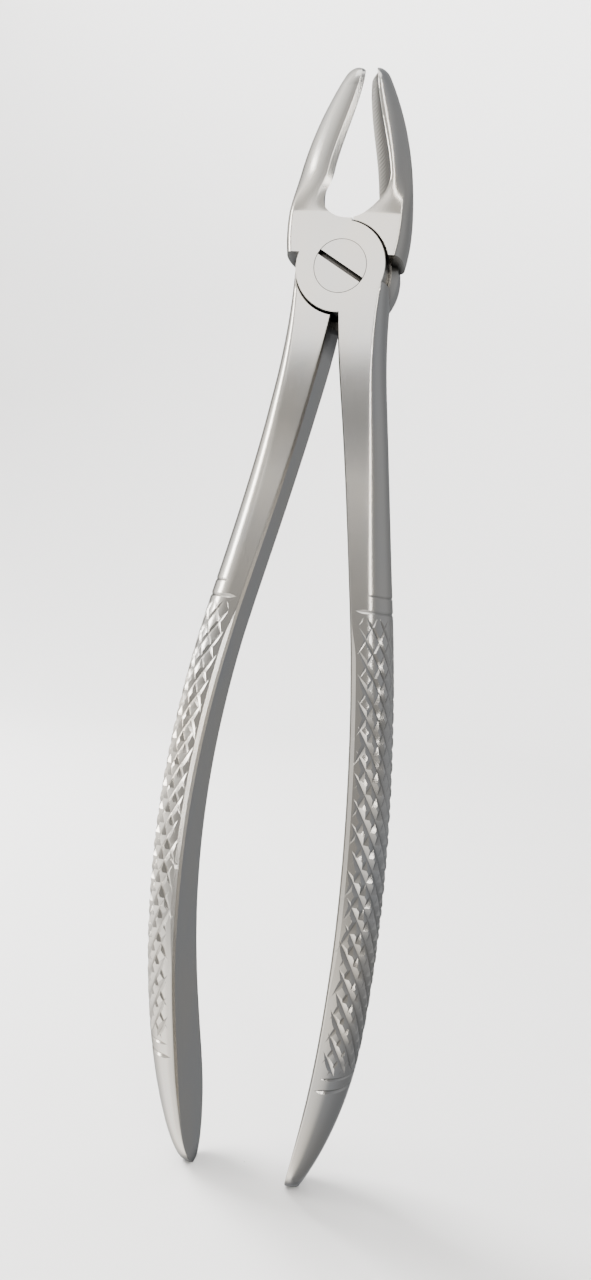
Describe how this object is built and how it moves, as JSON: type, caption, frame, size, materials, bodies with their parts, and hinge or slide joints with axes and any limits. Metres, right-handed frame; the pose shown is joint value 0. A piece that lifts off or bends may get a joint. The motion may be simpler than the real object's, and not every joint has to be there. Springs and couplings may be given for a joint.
{
  "type": "extraction forceps",
  "caption": "Hand forceps with two crossed levers on a slotted pivot screw, slim curved beaks with hollowed inner faces, and long bowed handles with a cut diamond grip.",
  "frame": {"origin": "on the pivot axis, in the flat back face of the joint", "axes": "+X to the right as seen from the screw head's side, +Y along the pivot axis towards the back, +Z along the length towards the beak tips"},
  "size_m": [0.0364, 0.0182, 0.175],
  "materials": {
    "lever_steel": "satin brushed stainless steel, bright on the raised cut edges of the grip",
    "screw_steel": "satin stainless steel ground flush with the joint"
  },
  "bodies": {
    "back_lever": {"back_lever": "lever_steel", "pivot_screw": "screw_steel"},
    "front_lever": {"front_lever": "lever_steel"}
  },
  "joints": [
    {"name": "jaw_pivot", "type": "hinge", "parent": "back_lever", "child": "front_lever", "pos_m": [0, -0.0042, 0], "axis": [0, -1, 0], "range_deg": [-1.5, 28]}
  ]
}
